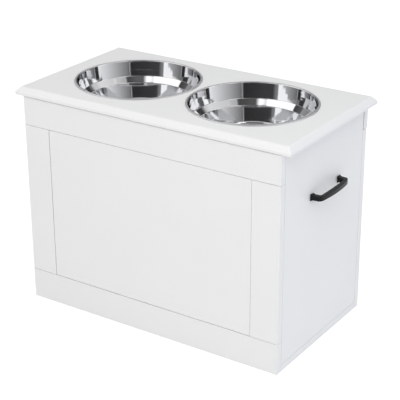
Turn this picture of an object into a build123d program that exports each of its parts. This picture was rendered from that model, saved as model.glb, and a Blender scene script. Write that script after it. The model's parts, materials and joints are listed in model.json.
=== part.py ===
"""Elevated dog feeder with storage: a board cabinet with a hinged lid that holds two steel bowls.

Millimetres.  +X is right as seen from the front, +Y is towards the back, +Z is up.  The origin is on
the floor, at the centre of the overall plan outline (lid front to hinge barrels, handle to handle).
"""

import os
from math import atan, cos, degrees, radians, sin

from build123d import *

os.makedirs("parts", exist_ok=True)

# ---------------------------------------------------------------- driving dimensions
board = 15.0  # thickness of every board of the cabinet and the lid
arris = 0.8  # rounding of the boards' visible edges

# lid
lid_width = 600.0
lid_depth = 325.0
side_overhang = 18.0
front_overhang = 3.0
back_overhang = 5.0
lid_gap = 2.0  # shadow gap between the cabinet and the lid, held open by the bumpers
bevel_inset = 8.5
bevel_drop = 10.0
lid_corner_radius = 3.0
lid_crease_radius = 2.0
lid_under_radius = 1.6

# cabinet
cabinet_height = 423.0
top_rail_height = 56.0
bottom_rail_height = 62.0
stile_width = 58.0
panel_recess = 3.0  # how far the front panel lies behind the frame's face
panel_gap = 0.25  # hairline gap round the front panel
tongue_thickness = 6.0
tongue_length = 8.0
tongue_clearance = 0.2
back_rail_height = 48.0
back_rail_setback = 3.0  # the back top rail stands this far behind the back panel

# bowls
bowl_side_margin = 49.0  # from the lid's end to the rim of a bowl
bowl_gap = 10.0  # between the rims of the two bowls
bowl_hole_clearance = 1.5
rim_width = 5.5
rim_height = 2.2
rim_edge_radius = 0.8
steel_thickness = 1.0
bowl_depth = 82.0
bowl_step_depth = 28.5  # height of the upper wall, above the step
bowl_step_height = 11.0
upper_wall_lean = 5.4
step_width = 9.0
lower_wall_lean = 7.5
bowl_step_radius = 2.0
bowl_floor_radius = 22.0
bowl_seat_gap = 0.1

# pull handles
handle_pitch = 101.6
handle_height = 310.0  # height of the handle's middle above the floor
handle_reach = 25.0
handle_end_reach = 20.5
handle_bar_thickness = 6.0
handle_bar_height = 12.4
handle_end_height = 9.0
handle_post_width = 9.0
handle_post_lean = 2.5
handle_bend_radius = 5.0
handle_inner_bend_radius = 2.5
foot_width = 10.5
foot_height = 15.0
foot_plate = 1.4
foot_flare = 5.0
handle_screw_diameter = 4.0
handle_screw_bite = 9.0
handle_head_diameter = 8.0
handle_head_height = 2.4
handle_head_round = 0.8

# lid hinges
hinge_end_margin = 92.0  # from the cabinet's side to the middle of a hinge
hinge_length = 60.0
hinge_leaf_width = 25.0
hinge_leaf_thickness = 1.2
hinge_knuckle_radius = 3.0
hinge_pin_radius = 1.5
hinge_pin_head = 2.4
hinge_pin_head_height = 1.0
hinge_pin_head_round = 0.5
hinge_screw_pitch = 20.0
hinge_screw_rows = 9.0  # distance between the two rows of hinge screws
hinge_screw_diameter = 3.0
hinge_screw_head = 5.2
hinge_screw_length = 12.0
screw_sink_angle = 90.0  # of every countersunk head

# slotted lid stays
lid_opening = 95.0  # degrees
stay_radius = 120.0  # from the hinge axis to both ends of the stay
stay_drop = 8.0  # the lid pivot lies this far below the hinge axis
stay_closed_angle = 30.0  # degrees between the two stay radii with the lid shut
stay_arm_thickness = 1.5
stay_arm_width = 14.0
stay_spacer_height = 4.6
stay_pin_radius = 3.0
stay_pin_head_radius = 5.5
stay_pin_head_height = 2.0
stay_rivet_radius = 2.0
stay_rivet_head_radius = 4.0
stay_rivet_head_height = 1.2
bracket_length = 30.0
bracket_width = 14.0
bracket_thickness = 1.5
bracket_screw_pitch = 18.0

# fittings that hold the boards together
dowel_diameter = 8.0
dowel_length = 30.0
dowel_face_depth = 10.0  # how deep a dowel enters the face of a board
dowel_edge_inset = 28.0  # from a board's corner to the nearest dowel
stile_dowel_spacing = 28.0
base_dowel_spacing = 200.0
back_rail_dowel_spacing = 150.0  # between the two middle dowels of the back top rail
base_screw_spacing = 120.0
base_screw_diameter = 5.0
base_screw_length = 50.0
base_screw_head = 9.0
cam_diameter = 15.0
cam_height = 12.0
cam_distance = 24.0  # from the board's edge to the cam's centre
cam_inset = 110.0  # from the floor, and from the cabinet's top, to the cams
cam_bolt_diameter = 6.0
cam_bolt_head = 7.0
cam_driver_width = 2.0
cam_driver_depth = 2.0

# lid bumpers
bumper_diameter = 10.0
bumper_inset = 9.0  # from the lid board's supporting edges to the bumpers' centres

# fits
running_clearance = 0.05  # radial, shaft in a moving part
fixed_clearance = 0.03  # radial, shaft in a fixed part
dowel_clearance = 0.05  # radial
drill_clearance = 0.25  # radial, screw through a board
end_clearance = 0.5  # past the end of a dowel or screw
face_gap = 0.2  # between flat faces that slide on each other
seat_gap = 0.05  # between flat faces of two bodies that rest on each other

# ---------------------------------------------------------------- derived places
body_width = lid_width - 2 * side_overhang
half_body = body_width / 2
side_inner_x = half_body - board
side_mid_x = half_body - board / 2

lid_under_z = cabinet_height + lid_gap
lid_top_z = lid_under_z + board

hinge_offset = hinge_knuckle_radius + running_clearance * 2  # axis to the leaf's outer plane
hinge_projection = back_rail_setback + hinge_offset + hinge_knuckle_radius - back_overhang
overall_depth = lid_depth + hinge_projection

lid_front_y = -overall_depth / 2
lid_back_y = lid_front_y + lid_depth
lid_mid_y = (lid_front_y + lid_back_y) / 2
front_y = lid_front_y + front_overhang
back_y = lid_back_y - back_overhang
frame_back_y = front_y + board  # back face of the front frame, front edge of the side panels
back_panel_y = back_y - board  # front face of the back panel, rear edge of the side panels
side_mid_y = (frame_back_y + back_panel_y) / 2
back_rail_y = back_y + back_rail_setback
back_rail_z = cabinet_height - back_rail_height

top_rail_z = cabinet_height - top_rail_height
half_panel = half_body - stile_width
bowl_mid_y = lid_mid_y
bowl_rim_radius = (lid_width / 2 - bowl_side_margin - bowl_gap / 2) / 2
bowl_mid_x = bowl_gap / 2 + bowl_rim_radius

hinge_axis_y = back_rail_y + hinge_offset
hinge_axis_z = lid_under_z - hinge_offset

FRONT = (0, -1, 0)
BACK = (0, 1, 0)
UP = (0, 0, 1)
DOWN = (0, 0, -1)
SIDES = (("left", -1), ("right", 1))
MIN_Z = (Align.CENTER, Align.CENTER, Align.MIN)
MAX_Z = (Align.CENTER, Align.CENTER, Align.MAX)


def save(part, name):
    """Label a finished piece and write its STEP file."""
    part.label = name
    export_step(part, f"parts/{name}.step")


def facing(points, direction):
    """Planes at the points, looking along the direction; a hole made on one runs the other way."""
    return [Plane(origin=point, z_dir=direction) for point in points]


def outward(sign):
    """Direction away from the cabinet's middle on one side."""
    return (sign, 0, 0)


def inward(sign):
    """Direction towards the cabinet's middle on one side."""
    return (-sign, 0, 0)


# ---------------------------------------------------------------- where the fittings go
frame_dowel_z = (bottom_rail_height / 2, cabinet_height / 2, cabinet_height - top_rail_height / 2)
back_dowel_z = (bottom_rail_height / 2, cabinet_height / 2, back_rail_z - dowel_edge_inset)
cam_z = (cam_inset, cabinet_height - cam_inset)
base_dowel_y = (side_mid_y - base_dowel_spacing / 2, side_mid_y + base_dowel_spacing / 2)
base_screw_y = (side_mid_y - base_screw_spacing / 2, side_mid_y + base_screw_spacing / 2)
stile_mid_x = half_body - stile_width / 2
handle_screw_y = (side_mid_y - handle_pitch / 2, side_mid_y + handle_pitch / 2)


def on_side(sign, ys, zs):
    """Points in the middle of a side panel's thickness."""
    return [(sign * side_mid_x, y, z) for y in ys for z in zs]


def stile_joints(sign, z):
    """Points where the two dowels of one end of a stile cross the joint."""
    mid = sign * stile_mid_x
    half = stile_dowel_spacing / 2
    return [(mid + shift, front_y + board / 2, z) for shift in (-half, half)]


# The back top rail stands on the back panel, where the two boards overlap.
back_rail_dowel_y = (back_rail_y - board + back_y) / 2
back_rail_dowel_x = [
    sign * place for sign in (-1, 1) for place in (stile_mid_x, back_rail_dowel_spacing / 2)
]
back_rail_joints = [(x, back_rail_dowel_y, back_rail_z) for x in back_rail_dowel_x]

dowel_radius = dowel_diameter / 2
dowel_hole_radius = dowel_radius + dowel_clearance
dowel_edge_depth = dowel_length - dowel_face_depth
cam_bolt_bite = dowel_face_depth
cam_radius = cam_diameter / 2

# ---------------------------------------------------------------- stay geometry
stay_tilt = degrees(atan(stay_drop / (stay_radius**2 - stay_drop**2) ** 0.5))
stay_pin_angle = radians(stay_tilt + stay_closed_angle)
stay_pivot_y = hinge_axis_y - stay_radius * cos(radians(stay_tilt))
stay_pivot_z = hinge_axis_z - stay_radius * sin(radians(stay_tilt))
stay_pin_y = hinge_axis_y - stay_radius * cos(stay_pin_angle)
stay_pin_z = hinge_axis_z - stay_radius * sin(stay_pin_angle)
stay_closed_reach = 2 * stay_radius * sin(radians(stay_closed_angle / 2))
stay_open_reach = 2 * stay_radius * sin(radians((stay_closed_angle + lid_opening) / 2))
stay_outer_x = side_inner_x - stay_spacer_height  # arm's face nearest the side panel
stay_inner_x = stay_outer_x - stay_arm_thickness
lug_inner_x = stay_outer_x + face_gap
lug_outer_x = lug_inner_x + bracket_thickness

# ---------------------------------------------------------------- boards of the cabinet
with BuildPart() as bottom_board:
    with BuildSketch(Plane.XY):
        with Locations((0, side_mid_y)):
            Rectangle(body_width, back_panel_y - frame_back_y)
    extrude(amount=board)
    fillet(bottom_board.edges().filter_by(Axis.Y), arris)
    for sign in (-1, 1):
        with Locations(*facing(on_side(sign, base_dowel_y, (board,)), UP)):
            Hole(dowel_hole_radius, depth=dowel_face_depth + end_clearance)
        with Locations(*facing(on_side(sign, base_screw_y, (0,)), DOWN)):
            CounterSinkHole(
                base_screw_diameter / 2 + drill_clearance,
                base_screw_head / 2 + drill_clearance,
                depth=board,
                counter_sink_angle=screw_sink_angle,
            )
save(bottom_board.part, "bottom_board")

for side, sign in SIDES:
    with BuildPart() as side_panel:
        with BuildSketch(Plane.YZ.offset(sign * side_inner_x)):
            with Locations((side_mid_y, (board + cabinet_height) / 2)):
                Rectangle(back_panel_y - frame_back_y, cabinet_height - board)
        extrude(amount=sign * board)
        fillet(side_panel.edges().filter_by(Axis.Y).group_by(Axis.Z)[-1], arris)
        with Locations(*facing(on_side(sign, base_dowel_y, (board,)), DOWN)):
            Hole(dowel_hole_radius, depth=dowel_edge_depth + end_clearance)
        with Locations(*facing(on_side(sign, base_screw_y, (board,)), DOWN)):
            Hole(
                base_screw_diameter / 2 + fixed_clearance,
                depth=base_screw_length - board + end_clearance,
            )
        for edge_y, edge_facing, heights in (
            (frame_back_y, FRONT, frame_dowel_z),
            (back_panel_y, BACK, back_dowel_z),
        ):
            with Locations(*facing(on_side(sign, (edge_y,), heights), edge_facing)):
                Hole(dowel_hole_radius, depth=dowel_edge_depth + end_clearance)
            with Locations(*facing(on_side(sign, (edge_y,), cam_z), edge_facing)):
                Hole(cam_bolt_head / 2 + drill_clearance, depth=cam_distance)
            cam_y = edge_y - edge_facing[1] * cam_distance
            cam_points = [(sign * side_inner_x, cam_y, z) for z in cam_z]
            with Locations(*facing(cam_points, inward(sign))):
                Hole(cam_radius + drill_clearance / 2, depth=cam_height + face_gap)
        handle_points = [(sign * side_inner_x, y, handle_height) for y in handle_screw_y]
        with Locations(*facing(handle_points, inward(sign))):
            Hole(handle_screw_diameter / 2 + drill_clearance, depth=board)
        with Locations(*facing([(sign * side_inner_x, stay_pin_y, stay_pin_z)], inward(sign))):
            Hole(hinge_screw_diameter / 2 + fixed_clearance, depth=hinge_screw_length + end_clearance)
    save(side_panel.part, f"{side}_side_panel")


def frame_board(width, height, mid_x, mid_z):
    """Add one board of the front frame, with eased edges on its face, to the open part."""
    with BuildSketch(Plane.XZ.offset(-frame_back_y)) as outline:
        with Locations((mid_x, mid_z)):
            Rectangle(width, height)
    extrude(outline.sketch, amount=board)


panel_mid_z = (bottom_rail_height + top_rail_z) / 2
panel_height = top_rail_z - bottom_rail_height
tongue_mid_y = front_y + panel_recess + (board - panel_recess) / 2
groove_width = tongue_thickness + 2 * tongue_clearance
groove_depth = tongue_length + tongue_clearance


def panel_groove():
    """Cut the groove that the front panel's tongue runs in out of the open part."""
    with BuildSketch(Plane.XZ.offset(-(tongue_mid_y + groove_width / 2))) as outline:
        with Locations((0, panel_mid_z)):
            Rectangle(2 * (half_panel + groove_depth), panel_height + 2 * groove_depth)
    extrude(outline.sketch, amount=groove_width, mode=Mode.SUBTRACT)


for name, height, mid_z, joint_z, joint_facing in (
    ("front_top_rail", top_rail_height, frame_dowel_z[-1], top_rail_z, DOWN),
    ("front_bottom_rail", bottom_rail_height, frame_dowel_z[0], bottom_rail_height, UP),
):
    with BuildPart() as rail:
        frame_board(body_width, height, 0, mid_z)
        fillet(rail.faces().sort_by(Axis.Y)[0].edges(), arris)
        panel_groove()
        for sign in (-1, 1):
            with Locations(*facing(on_side(sign, (frame_back_y,), (mid_z,)), BACK)):
                Hole(dowel_hole_radius, depth=dowel_face_depth + end_clearance)
            with Locations(*facing(stile_joints(sign, joint_z), joint_facing)):
                Hole(dowel_hole_radius, depth=dowel_length / 2 + end_clearance)
    save(rail.part, name)

for side, sign in SIDES:
    with BuildPart() as stile:
        frame_board(stile_width, panel_height, sign * stile_mid_x, panel_mid_z)
        fillet(stile.faces().sort_by(Axis.Y)[0].edges(), arris)
        panel_groove()
        with Locations(*facing(on_side(sign, (frame_back_y,), (frame_dowel_z[1],)), BACK)):
            Hole(dowel_hole_radius, depth=dowel_face_depth + end_clearance)
        with Locations(*facing(on_side(sign, (frame_back_y,), cam_z), BACK)):
            Hole(cam_bolt_diameter / 2 + fixed_clearance, depth=cam_bolt_bite + end_clearance)
        for joint_z, joint_facing in ((bottom_rail_height, DOWN), (top_rail_z, UP)):
            with Locations(*facing(stile_joints(sign, joint_z), joint_facing)):
                Hole(dowel_hole_radius, depth=dowel_length / 2 + end_clearance)
    save(stile.part, f"front_{side}_stile")

with BuildPart() as front_panel:
    with BuildSketch(Plane.XZ.offset(-frame_back_y)):
        with Locations((0, panel_mid_z)):
            Rectangle(2 * (half_panel - panel_gap), panel_height - 2 * panel_gap)
    extrude(amount=board - panel_recess)
    with BuildSketch(Plane.XZ.offset(-(tongue_mid_y + tongue_thickness / 2))):
        with Locations((0, panel_mid_z)):
            Rectangle(2 * (half_panel + tongue_length), panel_height + 2 * tongue_length)
    extrude(amount=tongue_thickness)
save(front_panel.part, "front_panel")

with BuildPart() as back_panel:
    with BuildSketch(Plane.XZ.offset(-back_y)):
        with Locations((0, back_rail_z / 2)):
            Rectangle(body_width, back_rail_z)
    extrude(amount=board)
    fillet(back_panel.faces().sort_by(Axis.Y)[-1].edges(), arris)
    for sign in (-1, 1):
        with Locations(*facing(on_side(sign, (back_panel_y,), back_dowel_z), FRONT)):
            Hole(dowel_hole_radius, depth=dowel_face_depth + end_clearance)
        with Locations(*facing(on_side(sign, (back_panel_y,), cam_z), FRONT)):
            Hole(cam_bolt_diameter / 2 + fixed_clearance, depth=cam_bolt_bite + end_clearance)
    with Locations(*facing(back_rail_joints, UP)):
        Hole(dowel_hole_radius, depth=dowel_length / 2 + end_clearance)
save(back_panel.part, "back_panel")

# ---------------------------------------------------------------- hinge screws, used by three pieces
hinge_screw_shifts = (-hinge_screw_pitch, 0, hinge_screw_pitch)
hinge_row_near = (hinge_knuckle_radius + hinge_leaf_width - hinge_screw_rows) / 2
hinge_row_far = hinge_row_near + hinge_screw_rows
hinge_mid_x = [sign * (half_body - hinge_end_margin) for sign in (-1, 1)]


def hinge_screw_spots(mid_x):
    """Screw places on one leaf: x, and the distance from the hinge axis along the leaf."""
    spots = []
    for index, shift in enumerate(hinge_screw_shifts):
        row = hinge_row_far if index == 1 else hinge_row_near
        spots.append((mid_x + shift, row))
    return spots


cabinet_leaf_y = back_rail_y + hinge_leaf_thickness
lid_leaf_z = lid_under_z - hinge_leaf_thickness
cabinet_hinge_screws = [
    (x, cabinet_leaf_y, hinge_axis_z - row) for mid in hinge_mid_x for x, row in hinge_screw_spots(mid)
]
lid_hinge_screws = [
    (x, hinge_axis_y - row, lid_leaf_z) for mid in hinge_mid_x for x, row in hinge_screw_spots(mid)
]
pilot_radius = hinge_screw_diameter / 2 + fixed_clearance
pilot_depth = hinge_screw_length + end_clearance

with BuildPart() as back_top_rail:
    with BuildSketch(Plane.XZ.offset(-back_rail_y)):
        with Locations((0, back_rail_z + back_rail_height / 2)):
            Rectangle(body_width, back_rail_height)
    extrude(amount=board)
    fillet(back_top_rail.faces().sort_by(Axis.Y)[-1].edges(), arris)
    with Locations(*facing(back_rail_joints, DOWN)):
        Hole(dowel_hole_radius, depth=dowel_length / 2 + end_clearance)
    with Locations(*facing(cabinet_hinge_screws, BACK)):
        Hole(pilot_radius, depth=pilot_depth)
save(back_top_rail.part, "back_top_rail")

# ---------------------------------------------------------------- slotted lid stays
for side, sign in SIDES:
    with BuildPart() as stay_arm:
        toward_pin = Vector(0, stay_pin_y - stay_pivot_y, stay_pin_z - stay_pivot_z).normalized()
        arm_plane = Plane(
            origin=(sign * stay_inner_x, stay_pivot_y, stay_pivot_z),
            x_dir=toward_pin,
            z_dir=outward(sign),
        )
        arm_length = stay_open_reach + stay_arm_width / 2
        with BuildSketch(arm_plane):
            with Locations((arm_length / 2, 0)):
                SlotCenterToCenter(arm_length, stay_arm_width)
            Circle(stay_rivet_radius + running_clearance, mode=Mode.SUBTRACT)
            slot_travel = stay_open_reach - stay_closed_reach
            with Locations(((stay_open_reach + stay_closed_reach) / 2, 0)):
                SlotCenterToCenter(
                    slot_travel + 2 * face_gap,
                    2 * (stay_pin_radius + running_clearance),
                    mode=Mode.SUBTRACT,
                )
        extrude(amount=stay_arm_thickness)
    save(stay_arm.part, f"{side}_stay_arm")

    with BuildPart() as stay_pin:
        with BuildSketch(Plane.YZ.offset(sign * side_inner_x)):
            with Locations((stay_pin_y, stay_pin_z)):
                Circle(stay_pin_head_radius)
        extrude(amount=-sign * (stay_spacer_height - face_gap))
        with BuildSketch(Plane.YZ.offset(sign * side_inner_x)):
            with Locations((stay_pin_y, stay_pin_z)):
                Circle(stay_pin_radius)
        extrude(amount=-sign * (stay_spacer_height + stay_arm_thickness + face_gap))
        with BuildSketch(Plane.YZ.offset(sign * (stay_inner_x - face_gap))):
            with Locations((stay_pin_y, stay_pin_z)):
                Circle(stay_pin_head_radius)
        extrude(amount=-sign * stay_pin_head_height)
        with BuildSketch(Plane.YZ.offset(sign * side_inner_x)):
            with Locations((stay_pin_y, stay_pin_z)):
                Circle(hinge_screw_diameter / 2)
        extrude(amount=sign * hinge_screw_length)
    save(stay_pin.part, f"{side}_stay_pin")

# The screws of both brackets go up into the lid, beside the lug.
bracket_screw_x = lug_inner_x - (bracket_width - bracket_thickness) / 2
bracket_screws = [
    (sign * bracket_screw_x, stay_pivot_y + shift, lid_under_z - bracket_thickness)
    for sign in (-1, 1)
    for shift in (-bracket_screw_pitch / 2, bracket_screw_pitch / 2)
]

for side, sign in SIDES:
    with BuildPart() as stay_bracket:
        with BuildSketch(Plane.XY.offset(lid_under_z)):
            with Locations((sign * (lug_outer_x - bracket_width / 2), stay_pivot_y)):
                Rectangle(bracket_width, bracket_length)
        extrude(amount=-bracket_thickness)
        with BuildSketch(Plane.YZ.offset(sign * lug_inner_x)):
            with BuildLine():
                lug_half = bracket_length / 2
                Polyline(
                    (stay_pivot_y - lug_half, lid_under_z),
                    (stay_pivot_y - stay_rivet_head_radius, stay_pivot_z),
                    (stay_pivot_y + stay_rivet_head_radius, stay_pivot_z),
                    (stay_pivot_y + lug_half, lid_under_z),
                    close=True,
                )
            make_face()
            with Locations((stay_pivot_y, stay_pivot_z)):
                Circle(stay_rivet_head_radius)
                Circle(stay_rivet_radius + fixed_clearance, mode=Mode.SUBTRACT)
        extrude(amount=sign * bracket_thickness)
        side_screws = [spot for spot in bracket_screws if spot[0] * sign > 0]
        with Locations(*facing(side_screws, DOWN)):
            CounterSinkHole(
                pilot_radius,
                hinge_screw_head / 2 + fixed_clearance,
                depth=bracket_thickness,
                counter_sink_angle=screw_sink_angle,
            )
    save(stay_bracket.part, f"{side}_stay_bracket")

with BuildPart() as stay_rivets:
    for sign in (-1, 1):
        rivet_spot = (stay_pivot_y, stay_pivot_z)
        with BuildSketch(Plane.YZ.offset(sign * (stay_inner_x - face_gap))):
            with Locations(rivet_spot):
                Circle(stay_rivet_radius)
        extrude(amount=sign * (lug_outer_x - stay_inner_x + face_gap))
        for head_x, head_sign in ((stay_inner_x - face_gap, -sign), (lug_outer_x, sign)):
            with BuildSketch(Plane.YZ.offset(sign * head_x)):
                with Locations(rivet_spot):
                    Circle(stay_rivet_head_radius)
            extrude(amount=head_sign * stay_rivet_head_height)
save(stay_rivets.part, "stay_rivets")

# ---------------------------------------------------------------- lid
rim_inner_radius = bowl_rim_radius - rim_width
bowl_hole_radius = rim_inner_radius + steel_thickness + bowl_hole_clearance
bowl_spots = [(sign * bowl_mid_x, bowl_mid_y, lid_top_z) for sign in (-1, 1)]

with BuildPart() as lid_board:
    with BuildSketch(Plane.XY.offset(lid_under_z)):
        with Locations((0, lid_mid_y)):
            Rectangle(lid_width, lid_depth)
    extrude(amount=board - bevel_drop)
    with BuildSketch(Plane.XY.offset(lid_top_z - bevel_drop)):
        with Locations((0, lid_mid_y)):
            Rectangle(lid_width, lid_depth)
    extrude(amount=bevel_drop, taper=degrees(atan(bevel_inset / bevel_drop)))
    corner_edges = lid_board.edges().filter_by(lambda edge: edge.bounding_box().size.Z > arris)
    fillet(corner_edges, lid_corner_radius)
    fillet(lid_board.faces().sort_by(Axis.Z)[-1].edges(), lid_crease_radius)
    fillet(lid_board.faces().sort_by(Axis.Z)[0].edges(), lid_under_radius)
    with Locations(*bowl_spots):
        Hole(bowl_hole_radius, depth=board)
    with Locations(*facing(lid_hinge_screws, DOWN)):
        Hole(pilot_radius, depth=pilot_depth)
    with Locations(*facing(bracket_screws, DOWN)):
        Hole(pilot_radius, depth=pilot_depth)
save(lid_board.part, "lid_board")

bumper_y = (front_y + board / 2, back_panel_y - bumper_inset)
with BuildPart() as lid_bumpers:
    for sign in (-1, 1):
        with Locations(*facing(on_side(sign, bumper_y, (lid_under_z,)), DOWN)):
            Cylinder(bumper_diameter / 2, lid_gap - seat_gap, align=MIN_Z)
save(lid_bumpers.part, "lid_bumpers")

# ---------------------------------------------------------------- bowls
rim_top = bowl_seat_gap + rim_height
upper_wall_foot = rim_inner_radius - upper_wall_lean
lower_wall_head = upper_wall_foot - step_width
lower_wall_foot = lower_wall_head - lower_wall_lean

for (side, sign), spot in zip(SIDES, bowl_spots):
    with BuildPart() as bowl:
        with BuildSketch(Plane(origin=spot, x_dir=(1, 0, 0), z_dir=FRONT)):
            with BuildLine():
                inner_wall = FilletPolyline(
                    (rim_inner_radius, rim_top),
                    (upper_wall_foot, -bowl_step_depth),
                    (lower_wall_head, -bowl_step_depth - bowl_step_height),
                    (lower_wall_foot, -bowl_depth),
                    (0, -bowl_depth),
                    radius=(bowl_step_radius, bowl_step_radius, bowl_floor_radius),
                )
                offset(inner_wall, amount=steel_thickness, side=Side.LEFT)
            make_face()
            with Locations((rim_inner_radius + rim_width / 2, bowl_seat_gap + rim_height / 2)):
                Rectangle(rim_width, rim_height)
        revolve(axis=Axis((spot[0], spot[1], 0), UP))
        fillet(bowl.faces().sort_by(Axis.Z)[-1].edges(), rim_edge_radius)
    save(bowl.part, f"{side}_bowl")

# ---------------------------------------------------------------- pull handles
half_pitch = handle_pitch / 2
post_head_half = half_pitch + handle_post_width / 2 - handle_post_lean
post_foot_half = half_pitch + handle_post_width / 2
bar_mid_inner = handle_reach - handle_bar_thickness
bar_end_inner = handle_end_reach - handle_bar_thickness

for side, sign in SIDES:
    handle_plan = Plane(
        origin=(sign * half_body, side_mid_y, handle_height - handle_bar_height / 2),
        x_dir=(0, -sign, 0),
        z_dir=UP,
    )
    with BuildPart() as handle:
        with BuildSketch(handle_plan):
            with BuildLine():
                Polyline(
                    (-post_head_half, handle_end_reach),
                    (-post_foot_half, 0),
                    (-post_foot_half + handle_post_width, 0),
                    (-post_head_half + handle_post_width, bar_end_inner),
                )
                ThreePointArc(
                    (-post_head_half + handle_post_width, bar_end_inner),
                    (0, bar_mid_inner),
                    (post_head_half - handle_post_width, bar_end_inner),
                )
                Polyline(
                    (post_head_half - handle_post_width, bar_end_inner),
                    (post_foot_half - handle_post_width, 0),
                    (post_foot_half, 0),
                    (post_head_half, handle_end_reach),
                )
                ThreePointArc(
                    (post_head_half, handle_end_reach),
                    (0, handle_reach),
                    (-post_head_half, handle_end_reach),
                )
            make_face()
        extrude(amount=handle_bar_height)
        outer_bends = [
            edge
            for edge in handle.edges().filter_by(Axis.Z)
            if abs(edge.center().X) > half_body + (bar_end_inner + handle_end_reach) / 2
        ]
        inner_bends = [
            edge
            for edge in handle.edges().filter_by(Axis.Z)
            if half_body + foot_flare < abs(edge.center().X) < half_body + bar_end_inner + arris
        ]
        fillet(outer_bends, handle_bend_radius)
        fillet(inner_bends, handle_inner_bend_radius)
        # The bar swells towards its middle, seen from the side of the cabinet.
        face_mid = (sign * half_body, side_mid_y, handle_height)
        with BuildSketch(Plane(origin=face_mid, x_dir=BACK, z_dir=outward(sign))):
            with BuildLine():
                for flip in (-1, 1):
                    Line(
                        (-post_foot_half * flip, handle_end_height / 2),
                        (-post_foot_half * flip, -handle_end_height / 2),
                    )
                    ThreePointArc(
                        (-post_foot_half, flip * handle_end_height / 2),
                        (0, flip * handle_bar_height / 2),
                        (post_foot_half, flip * handle_end_height / 2),
                    )
            make_face()
        extrude(amount=handle_reach + arris, mode=Mode.INTERSECT)
        for end in (-1, 1):
            foot_mid = (side_mid_y + end * half_pitch, handle_height)
            with BuildSketch(Plane.YZ.offset(sign * half_body)):
                with Locations(foot_mid):
                    Rectangle(foot_width, foot_height)
            extrude(amount=sign * foot_plate)
            with BuildSketch(Plane.YZ.offset(sign * (half_body + foot_plate))):
                with Locations(foot_mid):
                    Rectangle(foot_width, foot_height)
            with BuildSketch(Plane.YZ.offset(sign * (half_body + foot_flare))):
                with Locations(foot_mid):
                    Rectangle(handle_post_width - arris, handle_end_height - arris)
            loft()
            with Locations(Plane(origin=(sign * half_body, *foot_mid), z_dir=inward(sign))):
                Hole(
                    handle_screw_diameter / 2 + fixed_clearance,
                    depth=handle_screw_bite + end_clearance,
                )
    save(handle.part, f"{side}_handle")

with BuildPart() as handle_screws:
    for sign in (-1, 1):
        heads = [(sign * side_inner_x, y, handle_height) for y in handle_screw_y]
        with Locations(*facing(heads, inward(sign))):
            Cylinder(handle_head_diameter / 2, handle_head_height, align=MIN_Z)
            Cylinder(handle_screw_diameter / 2, board + handle_screw_bite, align=MAX_Z)
    head_rims = [
        edge
        for edge in handle_screws.edges().filter_by(GeomType.CIRCLE)
        if abs(edge.center().X) < side_inner_x - handle_head_height / 2
    ]
    fillet(head_rims, handle_head_round)
save(handle_screws.part, "handle_screws")

# ---------------------------------------------------------------- hinges
knuckle_length = hinge_length / 3
leaf_pin_axis = (hinge_axis_y, hinge_axis_z)
notch_size = 2 * (hinge_knuckle_radius + face_gap)


def knuckle(start_x, length):
    """Add a length of hinge barrel, from start_x towards +X, to the open part."""
    with BuildSketch(Plane.YZ.offset(start_x)) as barrel:
        with Locations(leaf_pin_axis):
            Circle(hinge_knuckle_radius)
    extrude(barrel.sketch, amount=length)


def pin_bore(start_x, clearance):
    """Cut the pin's bore along the whole hinge out of the open part."""
    with BuildSketch(Plane.YZ.offset(start_x)) as bore:
        with Locations(leaf_pin_axis):
            Circle(hinge_pin_radius + clearance)
    extrude(bore.sketch, amount=hinge_length, mode=Mode.SUBTRACT)


def leaf_screw_holes(spots, direction):
    """Countersink the leaf for its screws."""
    with Locations(*facing(spots, direction)):
        CounterSinkHole(
            pilot_radius,
            hinge_screw_head / 2 + fixed_clearance,
            depth=hinge_leaf_thickness,
            counter_sink_angle=screw_sink_angle,
        )


for (side, sign), mid_x in zip(SIDES, hinge_mid_x):
    start_x = mid_x - hinge_length / 2
    with BuildPart() as cabinet_leaf:
        with BuildSketch(Plane.XZ.offset(-cabinet_leaf_y)):
            with Locations((mid_x, hinge_axis_z - hinge_leaf_width / 2)):
                Rectangle(hinge_length, hinge_leaf_width)
        extrude(amount=hinge_leaf_thickness)
        knuckle(start_x, hinge_length)
        with Locations((mid_x, *leaf_pin_axis)):
            Box(knuckle_length, notch_size, notch_size, mode=Mode.SUBTRACT)
        pin_bore(start_x, fixed_clearance)
        leaf_screw_holes([spot for spot in cabinet_hinge_screws if spot[0] * sign > 0], BACK)
    save(cabinet_leaf.part, f"{side}_hinge_cabinet_leaf")

    with BuildPart() as lid_leaf:
        with BuildSketch(Plane.XY.offset(lid_leaf_z)):
            with Locations((mid_x, hinge_axis_y - hinge_leaf_width / 2)):
                Rectangle(hinge_length, hinge_leaf_width)
        extrude(amount=hinge_leaf_thickness)
        knuckle(mid_x - knuckle_length / 2 + face_gap, knuckle_length - 2 * face_gap)
        outer_shift = (knuckle_length + hinge_length) / 2 - face_gap
        with Locations(*[(mid_x + end * outer_shift, *leaf_pin_axis) for end in (-1, 1)]):
            Box(hinge_length, notch_size, notch_size, mode=Mode.SUBTRACT)
        pin_bore(start_x, running_clearance)
        leaf_screw_holes([spot for spot in lid_hinge_screws if spot[0] * sign > 0], DOWN)
    save(lid_leaf.part, f"{side}_hinge_lid_leaf")

    with BuildPart() as hinge_pin:
        pin_length = hinge_length + 2 * face_gap
        with BuildSketch(Plane.YZ.offset(mid_x - pin_length / 2)):
            with Locations(leaf_pin_axis):
                Circle(hinge_pin_radius)
        extrude(amount=pin_length)
        for end in (-1, 1):
            with BuildSketch(Plane.YZ.offset(mid_x + end * pin_length / 2)):
                with Locations(leaf_pin_axis):
                    Circle(hinge_pin_head)
            extrude(amount=end * hinge_pin_head_height)
        fillet(hinge_pin.edges().group_by(Axis.X)[0], hinge_pin_head_round)
        fillet(hinge_pin.edges().group_by(Axis.X)[-1], hinge_pin_head_round)
    save(hinge_pin.part, f"{side}_hinge_pin")


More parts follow.
